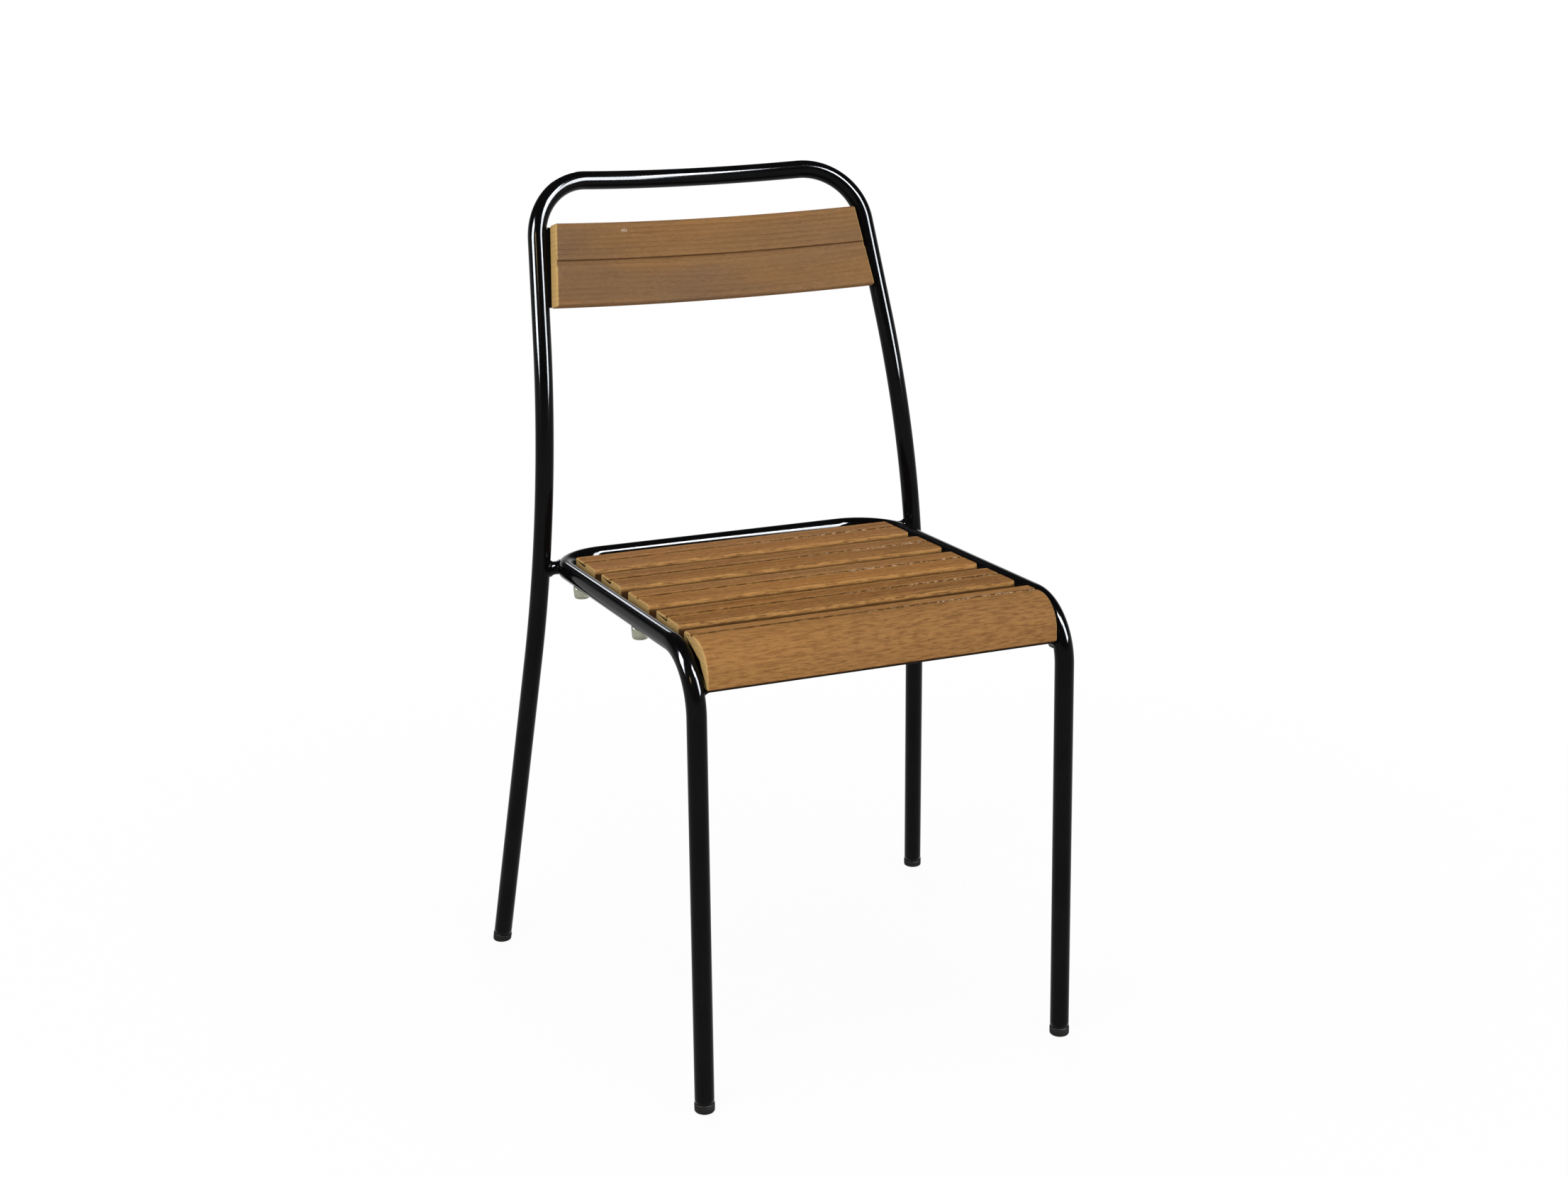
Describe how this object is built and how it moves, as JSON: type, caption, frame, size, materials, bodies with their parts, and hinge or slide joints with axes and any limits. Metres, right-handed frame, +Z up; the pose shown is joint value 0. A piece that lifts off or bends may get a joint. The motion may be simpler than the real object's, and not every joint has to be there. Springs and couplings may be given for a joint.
{
  "type": "side chair",
  "caption": "Stacking side chair with a bent tube frame, a slatted hardwood seat and a bowed hardwood back board.",
  "frame": {"origin": "centre of the chair's bounding box at floor level", "axes": "+Z up, the chair faces -Y, +X to the sitter's left, the middle plane is X = 0"},
  "size_m": [0.5266, 0.5176, 0.829],
  "materials": {
    "frame_paint": "semi-gloss black powder coat on steel",
    "slat_wood": "oiled hardwood, eased edges",
    "screw_steel": "plain bright screws",
    "foot_plastic": "matt black moulded plastic",
    "bumper_plastic": "clear to milky moulded plastic"
  },
  "bodies": {
    "root": {"seat_frame_tube": "frame_paint", "rear_frame_tube": "frame_paint", "spacer_left": "frame_paint", "spacer_right": "frame_paint", "front_cross_bar": "frame_paint", "support_bar_left": "frame_paint", "support_bar_right": "frame_paint", "seat_slat_1": "slat_wood", "seat_slat_2": "slat_wood", "seat_slat_3": "slat_wood", "seat_slat_4": "slat_wood", "front_slat": "slat_wood", "slat_screw_01": "screw_steel", "slat_screw_02": "screw_steel", "slat_screw_03": "screw_steel", "slat_screw_04": "screw_steel", "slat_screw_05": "screw_steel", "slat_screw_06": "screw_steel", "slat_screw_07": "screw_steel", "slat_screw_08": "screw_steel", "slat_screw_09": "screw_steel", "slat_screw_10": "screw_steel", "back_board": "slat_wood", "back_bracket_left": "frame_paint", "back_bracket_right": "frame_paint", "back_screw_1": "screw_steel", "back_screw_2": "screw_steel", "back_screw_3": "screw_steel", "back_screw_4": "screw_steel", "foot_cap_front_left": "foot_plastic", "foot_cap_front_right": "foot_plastic", "foot_cap_rear_left": "foot_plastic", "foot_cap_rear_right": "foot_plastic", "stacking_bumper_front_left": "bumper_plastic", "stacking_bumper_front_right": "bumper_plastic", "stacking_bumper_rear_left": "bumper_plastic", "stacking_bumper_rear_right": "bumper_plastic"}
  },
  "joints": []
}
